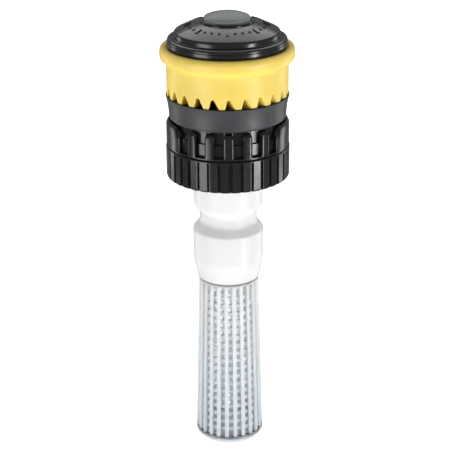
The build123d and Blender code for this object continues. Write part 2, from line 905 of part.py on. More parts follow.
# ---- filter neck: smooth moulded tube that hangs from the base -------------------------------------
with BuildPart() as filter_neck:
    with BuildSketch(Plane.XZ):
        with BuildLine():
            Polyline(
                (spigot_radius + seal_slack, filter_flange_top),
                (filter_flange_radius, filter_flange_top),
                (filter_flange_radius, filter_flange_bottom),
                (collar_radius, filter_flange_bottom),
                (collar_radius, collar_bottom),
                (neck_radius, neck_top),
                (neck_radius, neck_bottom),
                (seat_radius - fine_edge, seat_top - fine_edge),
                (seat_radius, seat_top - soft_edge),
                (seat_radius, seat_bottom),
                (taper_radius, taper_bottom + fine_edge),
                (taper_radius - fine_edge, taper_bottom),
                (socket_radius, taper_bottom),
                (socket_radius, socket_top),
                (seat_radius - filter_seat_wall - seat_inner_bevel, socket_top + 2 * seat_inner_bevel),
                (seat_radius - filter_seat_wall, seat_bottom),
                (seat_radius - filter_seat_wall, seat_top),
                (neck_radius - filter_wall, neck_bottom),
                (neck_radius - filter_wall, neck_top),
                (spigot_radius - seat_inner_bevel, collar_bottom),
                (spigot_radius - seat_inner_bevel, spigot_bottom - fine_edge),
                (spigot_radius + seal_slack, spigot_bottom - fine_edge),
                close=True,
            )
        make_face()
    revolve(axis=Axis.Z)
finish(filter_neck, "filter_neck")


# ---- filter basket: tapered cage, outer slots crossing inner grooves --------------------------------
def basket_radius(height):
    """Outer radius of the basket at a height."""
    share = (basket_top - height) / (basket_top - basket_bottom)
    return basket_top_radius + share * (basket_bottom_radius - basket_top_radius)


with BuildPart() as slot_cutter:
    turned(
        [
            (basket_radius(slot_top) - slot_depth, slot_top),
            (basket_radius(slot_top) + overrun, slot_top),
            (basket_radius(slot_bottom) + overrun, slot_bottom),
            (basket_radius(slot_bottom) - slot_depth, slot_bottom),
        ],
        arc=slot_angle,
        start=-slot_angle / 2,
    )

foot_middle = basket_foot * (1 - math.sqrt(0.5))
with BuildPart() as filter_basket:
    with BuildSketch(Plane.XZ):
        with BuildLine():
            Polyline(
                (0, basket_bottom + basket_floor),
                (0, basket_bottom),
                (basket_bottom_radius - basket_foot, basket_bottom),
            )
            ThreePointArc(
                (basket_bottom_radius - basket_foot, basket_bottom),
                (basket_bottom_radius - foot_middle, basket_bottom + foot_middle),
                (basket_bottom_radius, basket_bottom + basket_foot),
            )
            Polyline(
                (basket_bottom_radius, basket_bottom + basket_foot),
                (basket_top_radius, basket_top),
                (socket_radius - fixed_gap, basket_top),
                (socket_radius - fixed_gap, socket_top - fine_edge),
                (spigot_collar_inner, socket_top - fine_edge),
                (spigot_collar_inner, basket_top),
                (basket_top_radius - basket_wall, basket_top - basket_neck_drop),
                (basket_bottom_radius - basket_wall, basket_bottom + basket_floor + basket_floor_bevel),
                (basket_bottom_radius - basket_wall - basket_floor_bevel, basket_bottom + basket_floor),
                (0, basket_bottom + basket_floor),
            )
        make_face()
    revolve(axis=Axis.Z)
    with PolarLocations(0, slot_columns, start_angle=front + slot_phase):
        add(slot_cutter.part, mode=Mode.SUBTRACT)
    with BuildSketch(Plane.XZ) as rows:
        for row in range(ring_rows):
            height = row_gap if row else first_row_height
            top = first_row_top - row * ring_pitch - (first_row_height - row_gap if row else 0)
            outer = basket_radius(top) - slot_depth + row_bite
            with BuildLine():
                Polyline(
                    (spigot_collar_inner, top),
                    (outer, top),
                    (outer, top - height),
                    (spigot_collar_inner, top - height),
                    close=True,
                )
            make_face()
    revolve(rows.sketch, axis=Axis.Z, mode=Mode.SUBTRACT)
finish(filter_basket, "filter_basket")
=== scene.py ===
"""Looks of a multi-stream rotary sprinkler nozzle with its screen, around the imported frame.

An outline is a list of (radius, height) in millimetres, in the frame's axes, and becomes metres
where its mesh is made.  Angles are degrees about +Z, and the front faces -Y.
"""

import math
import bmesh
import bpy
from mathutils import Matrix, Vector


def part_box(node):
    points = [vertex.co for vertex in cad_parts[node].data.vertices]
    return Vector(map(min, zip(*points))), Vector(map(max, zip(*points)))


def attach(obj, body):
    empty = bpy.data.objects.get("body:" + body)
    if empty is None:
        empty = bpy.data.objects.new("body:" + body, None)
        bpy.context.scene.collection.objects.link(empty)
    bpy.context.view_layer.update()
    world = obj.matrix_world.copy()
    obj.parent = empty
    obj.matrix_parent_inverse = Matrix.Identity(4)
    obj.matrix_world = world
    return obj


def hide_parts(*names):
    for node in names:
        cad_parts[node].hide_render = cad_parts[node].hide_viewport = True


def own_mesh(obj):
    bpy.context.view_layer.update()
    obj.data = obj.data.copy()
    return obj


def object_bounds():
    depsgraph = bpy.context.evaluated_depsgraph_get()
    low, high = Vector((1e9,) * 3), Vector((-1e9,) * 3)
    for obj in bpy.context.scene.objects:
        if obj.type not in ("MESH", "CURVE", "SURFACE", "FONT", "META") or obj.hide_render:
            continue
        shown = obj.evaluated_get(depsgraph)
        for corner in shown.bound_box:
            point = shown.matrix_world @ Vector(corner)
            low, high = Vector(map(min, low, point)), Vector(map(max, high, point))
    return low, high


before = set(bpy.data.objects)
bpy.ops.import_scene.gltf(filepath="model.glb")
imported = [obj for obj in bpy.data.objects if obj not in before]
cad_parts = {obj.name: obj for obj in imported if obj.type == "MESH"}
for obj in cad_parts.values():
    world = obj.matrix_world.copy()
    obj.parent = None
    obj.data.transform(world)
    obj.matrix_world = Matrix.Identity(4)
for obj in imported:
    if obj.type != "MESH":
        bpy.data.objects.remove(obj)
cad_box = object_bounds()

MM = 0.001
FRONT = -90.0
SEGMENT = 2.0                  # widest step between two sections of a turned piece, in degrees
CREASE = 34.0                  # a sharper edge than this is shaded as an edge, in degrees
ROUNDING = 0.12                # how far a corner is cut back where it gives no value of its own
ROUNDING_STEPS = 3
EDGE_SHARE = 0.45              # the most of an edge that one corner's rounding may take
ON_AXIS = 1e-6


# ---- mesh helpers -------------------------------------------------------------------------------
def span(node):
    """Outer radius, lowest and highest point of a CAD node, in millimetres."""
    low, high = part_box(node)
    return high.x / MM, low.z / MM, high.z / MM


def make_object(name, points, faces, crease=CREASE):
    """A smooth-shaded closed mesh from points in millimetres."""
    mesh = bpy.data.meshes.new(name)
    mesh.from_pydata([(x * MM, y * MM, z * MM) for x, y, z in points], [], faces)
    tidy = bmesh.new()
    tidy.from_mesh(mesh)
    bmesh.ops.recalc_face_normals(tidy, faces=tidy.faces)
    tidy.to_mesh(mesh)
    tidy.free()
    for polygon in mesh.polygons:
        polygon.use_smooth = True
    mesh.set_sharp_from_angle(angle=math.radians(crease))
    piece = bpy.data.objects.new(name, mesh)
    bpy.context.scene.collection.objects.link(piece)
    return piece


def rounded(corners, closed=True):
    """An outline with each corner cut back and curved; a third value is that corner's own cut."""
    outline = []
    count = len(corners)
    for index, corner in enumerate(corners):
        here = Vector(corner[:2])
        own = corner[2] if len(corner) > 2 else ROUNDING
        ends = not closed and index in (0, count - 1)
        if own == 0 or ends:
            outline.append((here.x, here.y))
            continue
        before = Vector(corners[index - 1][:2]) - here
        after = Vector(corners[(index + 1) % count][:2]) - here
        reach = min(own, EDGE_SHARE * before.length, EDGE_SHARE * after.length)
        start = here + before.normalized() * reach
        end = here + after.normalized() * reach
        for step in range(ROUNDING_STEPS + 1):
            t = step / ROUNDING_STEPS
            point = start * (1 - t) ** 2 + here * 2 * t * (1 - t) + end * t ** 2
            outline.append((point.x, point.y))
    return outline


def angle_steps(marks=()):
    """The marked angles in order, with no gap wider than SEGMENT."""
    marks = sorted({round(mark % 360, 3) for mark in marks}) or [0.0]
    steps = []
    for index, mark in enumerate(marks):
        following = marks[index + 1] if index + 1 < len(marks) else marks[0] + 360
        parts = max(1, math.ceil((following - mark) / SEGMENT))
        steps += [mark + (following - mark) * part / parts for part in range(parts)]
    return steps


def turned_mesh(angles, section, closed=True):
    """Points and faces of a surface whose outline may change with the angle.

    section(angle) gives (radius, height) or (radius, height, extra angle).  An open outline
    starts and ends on the axis.
    """
    points = []
    rows = []
    axis_points = {}
    for angle in angles:
        row = []
        for place, spot in enumerate(section(angle)):
            radius, height = spot[0], spot[1]
            turn = math.radians(angle + (spot[2] if len(spot) > 2 else 0))
            if radius < ON_AXIS:
                if place not in axis_points:
                    axis_points[place] = len(points)
                    points.append((0, 0, height))
                row.append(axis_points[place])
            else:
                row.append(len(points))
                points.append((radius * math.cos(turn), radius * math.sin(turn), height))
        rows.append(row)
    faces = []
    size = len(rows[0])
    for index, row in enumerate(rows):
        following = rows[(index + 1) % len(rows)]
        for place in range(size if closed else size - 1):
            beside = (place + 1) % size
            loop = [row[place], row[beside], following[beside], following[place]]
            face = [spot for at, spot in enumerate(loop) if spot != loop[at - 1]]
            if len(face) > 2:
                faces.append(face)
    return points, faces


def turned(name, corners, closed=True):
    """A plain turned piece with rounded corners."""
    outline = rounded(corners, closed)
    points, faces = turned_mesh(angle_steps(), lambda angle: outline, closed)
    return make_object(name, points, faces)


def between(first, second, share):
    """An outline part of the way from one to another."""
    return [tuple(a + (b - a) * share for a, b in zip(one, two)) for one, two in zip(first, second)]


def offset_from(angle, centre, pitch):
    """How far an angle lies from the nearest repeat of a feature."""
    return (angle - centre + pitch / 2) % pitch - pitch / 2


def along(table, value):
    """Straight-line reading of a table of (place, amount)."""
    for (left, low), (right, high) in zip(table, table[1:]):
        if value <= right:
            share = (value - left) / (right - left)
            return low + (high - low) * min(max(share, 0), 1)
    return table[-1][1]


def repeats(count, phase, edges):
    """Angles of a feature's edges at each of its repeats round the axis."""
    return [FRONT + phase + number * 360 / count + edge for number in range(count) for edge in edges]


def places(table):
    """Where a table of (place, amount) changes."""
    return [place for place, _ in table]


def mirrored(table):
    """Where a table that serves both sides of a feature changes."""
    return [side * place for place in places(table) for side in (-1, 1)]


def place_piece(piece, node, body, material):
    """Give a piece its material and let it stand for a CAD node."""
    piece.data.materials.clear()
    piece.data.materials.append(material)
    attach(piece, body)
    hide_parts(node)


# ---- materials: patterns in features per metre, bump depths in metres ---------------------------
PATTERN_LOW = 0.3              # nearly all of a noise pattern lies between these two
PATTERN_MIDDLE = 0.5
PATTERN_HIGH = 0.7
PATTERN_ROUGHNESS = 0.55
CLOUDS = 260.0
GLOSS_PATCHES = 700.0
GLOSS_CHANGE = 0.03
WAVES = 420.0
WAVE_DEPTH = 0.00001
WAVE_STRENGTH = 0.3
GRAIN = 3000.0
GRAIN_DEPTH = 0.000002
SOFT_DEPTH = 0.0013            # how far light travels inside the yellow plastic
SOFT_COLOURS = (1.0, 0.8, 0.35)


def start_material(name):
    material = bpy.data.materials.new(name)
    material.use_nodes = True
    tree = material.node_tree
    shader = tree.nodes["Principled BSDF"]
    coordinates = tree.nodes.new("ShaderNodeTexCoord")
    return material, tree, shader, coordinates.outputs["Object"]


def noise(tree, place, scale, detail=3.0, stretch=(1, 1, 1)):
    """A noise pattern; a larger stretch value packs it closer along that axis."""
    mapping = tree.nodes.new("ShaderNodeMapping")
    mapping.inputs["Scale"].default_value = stretch
    tree.links.new(place, mapping.inputs["Vector"])
    texture = tree.nodes.new("ShaderNodeTexNoise")
    texture.inputs["Scale"].default_value = scale
    texture.inputs["Detail"].default_value = detail
    texture.inputs["Roughness"].default_value = PATTERN_ROUGHNESS
    tree.links.new(mapping.outputs["Vector"], texture.inputs["Vector"])
    return texture.outputs["Fac"]


def ramp(tree, source, stops):
    """Colours read along a pattern."""
    node = tree.nodes.new("ShaderNodeValToRGB")
    elements = node.color_ramp.elements
    while len(elements) < len(stops):
        elements.new(PATTERN_MIDDLE)
    for element, (place, colour) in zip(elements, stops):
        element.position = place
        element.color = (*colour, 1)
    tree.links.new(source, node.inputs["Fac"])
    return node.outputs["Color"]


def spread(tree, source, low, high):
    """A pattern carried to the range from low to high."""
    node = tree.nodes.new("ShaderNodeMapRange")
    node.inputs["From Min"].default_value = PATTERN_LOW
    node.inputs["From Max"].default_value = PATTERN_HIGH
    node.inputs["To Min"].default_value = low
    node.inputs["To Max"].default_value = high
    tree.links.new(source, node.inputs["Value"])
    return node.outputs["Result"]


def bump(tree, shader, source, depth, strength=1.0, under=None):
    """A bump from a pattern, laid over another bump if one is given."""
    node = tree.nodes.new("ShaderNodeBump")
    node.inputs["Distance"].default_value = depth
    node.inputs["Strength"].default_value = strength
    tree.links.new(source, node.inputs["Height"])
    if under:
        tree.links.new(under, node.inputs["Normal"])
    tree.links.new(node.outputs["Normal"], shader.inputs["Normal"])
    return node.outputs["Normal"]


def tint(colour, factor):
    """A lighter or darker colour, with no channel above 1."""
    return tuple(min(1.0, channel * factor) for channel in colour)


def moulded(name, colour, rough, depth=GRAIN_DEPTH, mottle=0.07, specular=0.5, soft=0.0):
    """Moulded plastic: faint clouding, fine surface grain and slow changes in gloss."""
    material, tree, shader, place = start_material(name)
    clouds = noise(tree, place, CLOUDS, 4.0)
    stops = [(PATTERN_LOW, tint(colour, 1 - mottle)), (PATTERN_MIDDLE, colour),
             (PATTERN_HIGH, tint(colour, 1 + mottle))]
    tree.links.new(ramp(tree, clouds, stops), shader.inputs["Base Color"])
    gloss = spread(tree, noise(tree, place, GLOSS_PATCHES), rough - GLOSS_CHANGE, rough + GLOSS_CHANGE)
    tree.links.new(gloss, shader.inputs["Roughness"])
    waves = bump(tree, shader, noise(tree, place, WAVES, 2.0), WAVE_DEPTH, WAVE_STRENGTH)
    bump(tree, shader, noise(tree, place, GRAIN, 2.0), depth, under=waves)
    shader.inputs["Specular IOR Level"].default_value = specular
    if soft:
        shader.inputs["Subsurface Weight"].default_value = soft
        shader.inputs["Subsurface Scale"].default_value = SOFT_DEPTH
        shader.inputs["Subsurface Radius"].default_value = SOFT_COLOURS
    return material


MILKY = (0.925, 0.945, 0.96)
# painted shade: a grey multiplied into the screen's colour near its foot, fading out upwards
PAINTED_SHADE = (0.75, 0.78, 0.81)
PAINTED_SHADE_MIDDLE = 1.17            # how much lighter the painted shade is part of the way up
PAINTED_SHADE_FOOT = -0.056            # heights between which the screen is darkened by painted shade, darkest at the foot
PAINTED_SHADE_END = -0.014
MILKY_CLOUDS = 300.0
MILKY_GLOSS = 240.0
MILKY_WAVES = 500.0
MILKY_DEPTH = 0.0015
MILKY_COLOURS = (1.0, 1.0, 1.0)


def translucent(name):
    """Natural polypropylene: milky, light passes through it, and greyer towards the screen's foot by
    painted shade.
    """
    material, tree, shader, place = start_material(name)
    clouds = noise(tree, place, MILKY_CLOUDS, stretch=(1, 1, 0.3))
    stops = [(PATTERN_LOW, tint(MILKY, 0.98)), (PATTERN_MIDDLE, MILKY), (PATTERN_HIGH, tint(MILKY, 1.01))]
    parts = tree.nodes.new("ShaderNodeSeparateXYZ")
    tree.links.new(place, parts.inputs["Vector"])
    height = tree.nodes.new("ShaderNodeMapRange")
    height.inputs["From Min"].default_value = PAINTED_SHADE_FOOT
    height.inputs["From Max"].default_value = PAINTED_SHADE_END
    tree.links.new(parts.outputs["Z"], height.inputs["Value"])
    # painted shade: the colour is darkened towards the screen's foot, read from the height
    painted_shade_ramp = [(0.0, PAINTED_SHADE), (0.35, tint(PAINTED_SHADE, PAINTED_SHADE_MIDDLE)), (0.8, (1, 1, 1))]
    painted_shade_ramp = ramp(tree, height.outputs["Result"], painted_shade_ramp)
    blend = tree.nodes.new("ShaderNodeMix")
    blend.data_type = "RGBA"
    blend.blend_type = "MULTIPLY"
    blend.inputs["Factor"].default_value = 1.0
    tree.links.new(ramp(tree, clouds, stops), blend.inputs["A"])
    tree.links.new(painted_shade_ramp, blend.inputs["B"])
    tree.links.new(blend.outputs["Result"], shader.inputs["Base Color"])
    gloss = spread(tree, noise(tree, place, MILKY_GLOSS, 1.0), 0.29, 0.33)
    tree.links.new(gloss, shader.inputs["Roughness"])
    bump(tree, shader, noise(tree, place, MILKY_WAVES, 1.0), 0.000001, 0.2)
    shader.inputs["Transmission Weight"].default_value = 0.3
    shader.inputs["IOR"].default_value = 1.35
    shader.inputs["Subsurface Weight"].default_value = 0.8
    shader.inputs["Subsurface Scale"].default_value = MILKY_DEPTH
    shader.inputs["Subsurface Radius"].default_value = MILKY_COLOURS
    return material


TOOL_MARKS = 2500.0
TOOL_MARK_DEPTH = 0.000004
DUST = 900.0
RUBBER_GRAIN = 12000.0
RUBBER_DEPTH = 0.00001
FIBRES = 5000.0
FIBRE_DEPTH = 0.00003


def steel(name, stretch):
    """Stainless steel with fine turning or drawing marks."""
    material, tree, shader, place = start_material(name)
    marks = noise(tree, place, TOOL_MARKS, stretch=stretch)
    stops = [(PATTERN_LOW, (0.5, 0.5, 0.49)), (PATTERN_HIGH, (0.68, 0.68, 0.67))]
    tree.links.new(ramp(tree, marks, stops), shader.inputs["Base Color"])
    tree.links.new(spread(tree, marks, 0.22, 0.38), shader.inputs["Roughness"])
    bump(tree, shader, marks, TOOL_MARK_DEPTH)
    shader.inputs["Metallic"].default_value = 1.0
    return material


def rubber(name):
    """Seal rubber: dark, dull and slightly dusty."""
    material, tree, shader, place = start_material(name)
    dust = noise(tree, place, DUST, 5.0)
    stops = [(0.35, (0.012, 0.012, 0.013)), (0.75, (0.035, 0.035, 0.036))]
    tree.links.new(ramp(tree, dust, stops), shader.inputs["Base Color"])
    tree.links.new(spread(tree, dust, 0.62, 0.8), shader.inputs["Roughness"])
    bump(tree, shader, noise(tree, place, RUBBER_GRAIN, 2.0), RUBBER_DEPTH)
    return material


def lining(name):
    """Pressed friction lining with pale fibres."""
    material, tree, shader, place = start_material(name)
    fibres = noise(tree, place, FIBRES, 5.0, stretch=(1, 0.3, 1))
    stops = [(0.35, (0.09, 0.05, 0.03)), (0.55, (0.19, 0.11, 0.07)), (0.75, (0.42, 0.3, 0.16))]
    tree.links.new(ramp(tree, fibres, stops), shader.inputs["Base Color"])
    tree.links.new(spread(tree, fibres, 0.7, 0.9), shader.inputs["Roughness"])
    bump(tree, shader, fibres, FIBRE_DEPTH)
    return material


YELLOW = (0.775, 0.585, 0.125)
BLACK = (0.009, 0.0103, 0.0112)
CHARCOAL = (0.040, 0.043, 0.047)
GREY = (0.21, 0.235, 0.23)

yellow_plastic = moulded("yellow_plastic", YELLOW, 0.36, mottle=0.04, specular=0.35, soft=0.35)
black_plastic = moulded("black_plastic", BLACK, 0.21, mottle=0.16, specular=0.55)
cap_plastic = moulded("cap_plastic", tint(BLACK, 1.25), 0.22, mottle=0.12, specular=0.6)
charcoal_plastic = moulded("charcoal_plastic", CHARCOAL, 0.42, mottle=0.12, depth=0.000003)
grey_plastic = moulded("grey_plastic", GREY, 0.45, mottle=0.08, depth=0.00001)
base_plastic = moulded("base_plastic", tint(BLACK, 1.3), 0.5, mottle=0.15)
valve_plastic = moulded("valve_plastic", (0.55, 0.55, 0.52), 0.4)
bearing_plastic = moulded("bearing_plastic", (0.82, 0.81, 0.77), 0.35, mottle=0.03)
screen_plastic = translucent("screen_plastic")
turned_steel = steel("turned_steel", (1, 1, 6))
drawn_steel = steel("drawn_steel", (6, 6, 1))
seal_rubber = rubber("seal_rubber")
brake_lining = lining("brake_lining")

CARRIED = {
    "base": base_plastic,
    "hub": base_plastic,
    "throttle_nut": base_plastic,
    "valve_sleeve": valve_plastic,
    "deflector_bearing": bearing_plastic,
    "thrust_washer": bearing_plastic,
    "adjuster_washer": bearing_plastic,
    "seal_retainer": bearing_plastic,
    "brake_pad": brake_lining,
    "shaft": turned_steel,
    "spring_retainer": turned_steel,
    "retaining_ring": drawn_steel,
    "brake_plate": drawn_steel,
    "brake_hub": turned_steel,
    "riser_gasket": seal_rubber,
    "radius_ring_seal": seal_rubber,
    "housing_seal": seal_rubber,
    "shaft_seal": seal_rubber,
}
for node, material in CARRIED.items():
    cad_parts[node].data.materials.clear()
    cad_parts[node].data.materials.append(material)


# ---- radius ring: flat lands and grooves, cored underneath, with keyways in its sleeve ----------
GROOVES = 36
GROOVE_PHASE = 2.2             # degrees from the front to a groove's middle
GROOVE_SHAPE = [(-5, 0), (-1.75, 0), (-1.5, 0.07), (-1.35, 0.16), (-0.85, 0.55), (0.85, 0.55),
                (1.35, 0.16), (1.5, 0.07), (1.75, 0), (5, 0)]
FLAT_HALF = 3.25               # half of a land's flat face, in degrees
CORE_WEBS = 18
WEB_HALF = 2.2
WEB_EDGES = (-2.3, -2.1, 2.1, 2.3)
KEYWAYS = 3
KEYWAY_PHASE = 12.4
KEYWAY_HALF = 4.95
KEYWAY_EDGES = (-5.0, -4.9, 4.9, 5.0)


def radius_ring_piece():
    outer, bottom, sleeve_top = span("radius_ring")
    rim = bottom + 6.2
    groove_top = bottom + 5.88
    web = bottom + 5.1
    bore = 9.6
    sleeve = 8.7
    keyway = 9.4
    sleeve_outer = 9.9
    core_inner = 10.3
    core_outer = 11.0
    core_depth = 4.3
    web_recess = 0.3

    def section(angle):
        depth = along(GROOVE_SHAPE, offset_from(angle, FRONT + GROOVE_PHASE, 360 / GROOVES))
        in_core = abs(offset_from(angle, FRONT, 360 / CORE_WEBS)) > WEB_HALF
        core = bottom + (core_depth if in_core else web_recess)
        in_keyway = abs(offset_from(angle, FRONT + KEYWAY_PHASE, 360 / KEYWAYS)) <= KEYWAY_HALF
        inner = keyway if in_keyway else sleeve
        from_flat = abs(offset_from(angle, FRONT + GROOVE_PHASE + 180 / GROOVES, 360 / GROOVES))
        flat = min(1.0, math.cos(math.radians(FLAT_HALF)) / math.cos(math.radians(from_flat)))
        face = outer * flat
        floor = face if from_flat < FLAT_HALF else outer - depth

        def cutback(radius):
            return min(radius, floor)

        return [
            (bore, web), (bore, bottom + 0.1), (bore + 0.1, bottom),
            (core_inner, bottom), (core_inner, core), (core_outer, core), (core_outer, bottom),
            (cutback(11.7), bottom), (cutback(11.78), bottom + 0.02), (cutback(11.9), bottom + 0.12),
            (cutback(face - 0.02), bottom + 0.25), (cutback(face), bottom + 0.38),
            (floor, groove_top - 0.1), (face - depth * 0.8, groove_top - 0.02),
            (face - 0.04 * depth, groove_top),
            (face, groove_top + 0.05), (face, rim - 0.2), (face - 0.05, rim - 0.09),
            (face - 0.13, rim - 0.02), (face - 0.22, rim),
            (sleeve_outer, rim), (sleeve_outer, sleeve_top), (inner, sleeve_top), (inner, web),
        ]

    marks = (repeats(GROOVES, GROOVE_PHASE, places(GROOVE_SHAPE)) + repeats(CORE_WEBS, 0, WEB_EDGES)
             + repeats(KEYWAYS, KEYWAY_PHASE, KEYWAY_EDGES))
    points, faces = turned_mesh(angle_steps(marks), section)
    return make_object("radius_ring_shell", points, faces)


# ---- arc ring: stepped wall, free-standing ribs and two hollow grip lugs ------------------------
LUGS = 2
LUG_PHASE = 90.0
RIB_PLACES = range(-2, 3)      # ribs on each side of the front and of the back
RIB_PITCH = 18.0
RIB_HALF = 4.3                 # half widths in degrees
RIB_PHASE = 0.6
LUG_HALF = 39.0
POCKET_HALF = 33.0
RIB_EDGE = [(RIB_HALF - 1.0, 0), (RIB_HALF - 0.12, 0.12), (RIB_HALF, 1)]
LUG_EDGE = [(LUG_HALF - 0.8, 0), (LUG_HALF - 0.1, 0.1), (LUG_HALF, 1)]
POCKET_EDGE = [(POCKET_HALF, 0), (POCKET_HALF + 0.2, 0.96), (POCKET_HALF + 0.4, 1)]
LUG_SLOPE = [(POCKET_EDGE[-1][0], 0), (LUG_EDGE[0][0], 1)]
LUG_END = LUG_HALF + 0.1


def arc_ring_piece():
    outer, bottom, top = span("arc_ring")
    inner = 10.05
    wall_face = 10.6
    step_face = 11.0
    rim = bottom + 0.39
    step = bottom + 2.84
    lug_top = bottom + 5.04
    rib_top = rim + 4.59
    pocket_floor = rim + 1.45
    foot = [(inner, bottom + 0.08), (inner + 0.08, bottom), (outer - 0.12, bottom),
            (outer - 0.03, bottom + 0.04), (outer, bottom + 0.14), (outer, rim - 0.1)]
    crown = [(10.52, top), (inner + 0.08, top), (inner, top - 0.08)]
    window = foot + [
        (outer - 0.08, rim), (11.06, rim), (step_face, rim + 0.06), (step_face, step - 0.14),
        (10.97, step - 0.04), (10.88, step), (10.65, step), (wall_face, step + 0.05),
        (wall_face, step + 0.2), (wall_face, step + 0.3), (wall_face, top - 0.1),
    ] + crown
    rib = foot + [
        (outer - 0.02, rim), (outer - 0.02, rim + 0.1), (outer - 0.02, rim + 0.5), (outer - 0.02, step),
        (outer - 0.02, rib_top - 0.66), (outer - 0.07, rib_top - 0.46), (outer - 0.3, rib_top - 0.13),
        (outer - 0.4, rib_top - 0.04), (outer - 0.55, rib_top), (10.62, rib_top), (wall_face, top - 0.1),
    ] + crown
    wall = foot + [
        (outer, rim), (outer, rim + 0.1), (outer, step), (outer, lug_top - 1.1),
        (outer - 0.04, lug_top - 0.95), (outer - 0.5, lug_top - 0.45), (outer - 0.62, lug_top - 0.38),
        (outer - 0.8, lug_top - 0.36), (step_face, lug_top - 0.36), (10.62, lug_top - 0.36),
        (wall_face, top - 0.03),
    ] + crown
    end = foot + [
        (outer, rim), (outer, rim + 0.1), (outer, step), (outer, lug_top - 2.0),
        (outer - 0.04, lug_top - 1.85), (outer - 0.5, lug_top - 1.1), (outer - 0.62, lug_top - 0.98),
        (outer - 0.8, lug_top - 0.92), (step_face, lug_top - 0.9), (10.62, lug_top - 0.88),
        (wall_face, top - 0.03),
    ] + crown
    pocket = foot + [
        (outer, rim), (outer, rim + 0.1), (outer, step), (outer, lug_top - 0.85),
        (outer - 0.04, lug_top - 0.72), (outer - 0.42, lug_top - 0.07), (outer - 0.5, lug_top),
        (outer - 0.62, lug_top - 0.06), (outer - 0.65, pocket_floor), (wall_face, pocket_floor),
        (wall_face, top - 0.1),
    ] + crown

    def section(angle):
        beside_lug = abs(offset_from(angle, FRONT + LUG_PHASE, 360 / LUGS))
        if beside_lug < POCKET_EDGE[-1][0]:
            return between(pocket, wall, along(POCKET_EDGE, beside_lug))
        if beside_lug < LUG_END:
            solid = between(wall, end, along(LUG_SLOPE, beside_lug))
            return between(solid, window, along(LUG_EDGE, beside_lug))
        beside_rib = abs(offset_from(angle, FRONT + RIB_PHASE, RIB_PITCH))
        return between(rib, window, along(RIB_EDGE, beside_rib))

    ribs = [number * RIB_PITCH + edge for number in RIB_PLACES for edge in mirrored(RIB_EDGE)]
    marks = repeats(LUGS, RIB_PHASE, ribs) + repeats(LUGS, LUG_PHASE, mirrored(POCKET_EDGE + LUG_EDGE))
    points, faces = turned_mesh(angle_steps(marks), section)
    return make_object("arc_ring_shell", points, faces)


# ---- nozzle housing: a bell that flares upwards, over a sleeve with a bead inside ---------------
FLARE_STEPS = 12
FLARE_STRAIGHT = 0.25          # share of the flare that widens evenly; the rest curves outwards
FLARE_POWER = 2.4


def housing_piece():
    outer, bottom, top = span("nozzle_housing")
    skirt = bottom + 2.89
    waist = 11.3
    sleeve = 9.95
    bore = 9.05
    bead = 8.62
    hub_bore = 3.95
    hub = 4.7
    hub_foot = 10.9
    flare = []
    for step in range(FLARE_STEPS + 1):
        share = step / FLARE_STEPS
        reach = FLARE_STRAIGHT * share + (1 - FLARE_STRAIGHT) * share ** FLARE_POWER
        flare.append((waist + (outer - waist) * reach, skirt + 0.12 + (top - skirt - 0.2) * share, 0))
    corners = [(sleeve, skirt, 0.05), (waist - 0.08, skirt, 0.05)] + flare + [
        (outer - 0.08, top, 0), (11.6, top, 0.05), (11.45, top - 0.35, 0.08),
        (hub_bore, top - 2.41, 0.1), (hub_bore, hub_foot, 0.08), (hub, hub_foot, 0.08),
        (hub, top - 3.51, 0.2), (bore, top - 2.31, 0.2), (bore, bottom + 1.3, 0.03),
        (bead, bottom + 1.2, 0.05), (bead, bottom + 0.55, 0.05), (bore, bottom + 0.15, 0.03),
        (bore, bottom, 0.05), (sleeve, bottom, 0.05),
    ]
    return turned("nozzle_housing_shell", corners)


# ---- deflector: rolled lip, and stream channels that spiral in towards the hub ------------------
CHANNELS = 24
CHANNEL_PHASE = 1.6
CHANNEL_LEAD = -14.0           # angle between a channel's straight line and its spoke
CHANNEL_START = 12.29          # radius at which that line leaves its spoke
CHANNEL_RISE = 1.88
CHANNEL_SHAPE = [(-4.3, 0), (-4.0, 0.05), (-3.75, 0.18), (-3.55, 0.38), (-2.4, 1.35), (-2.05, 1.62),
                 (-1.55, 1.8), (-0.8, CHANNEL_RISE), (0.5, CHANNEL_RISE), (1.2, 1.81), (1.7, 1.66),
                 (2.1, 1.45), (4.8, 0.38), (5.15, 0.18), (5.5, 0.05), (5.9, 0)]
UNDER_STEPS = 10
LIP_SHAPE = [(0.02, 5.75), (0.08, 5.95), (0.18, 6.12), (0.31, 6.26), (0.48, 6.42), (0.68, 6.6),
             (0.85, 6.76), (0.99, 6.92), (1.09, 7.08), (1.15, 7.25), (1.19, 7.48), (1.21, 7.75),
             (1.21, 8.0)]
LIP_STEPS = 8
LIP_CURVE = 0.6
DEFLECTOR_CREASE = 40.0


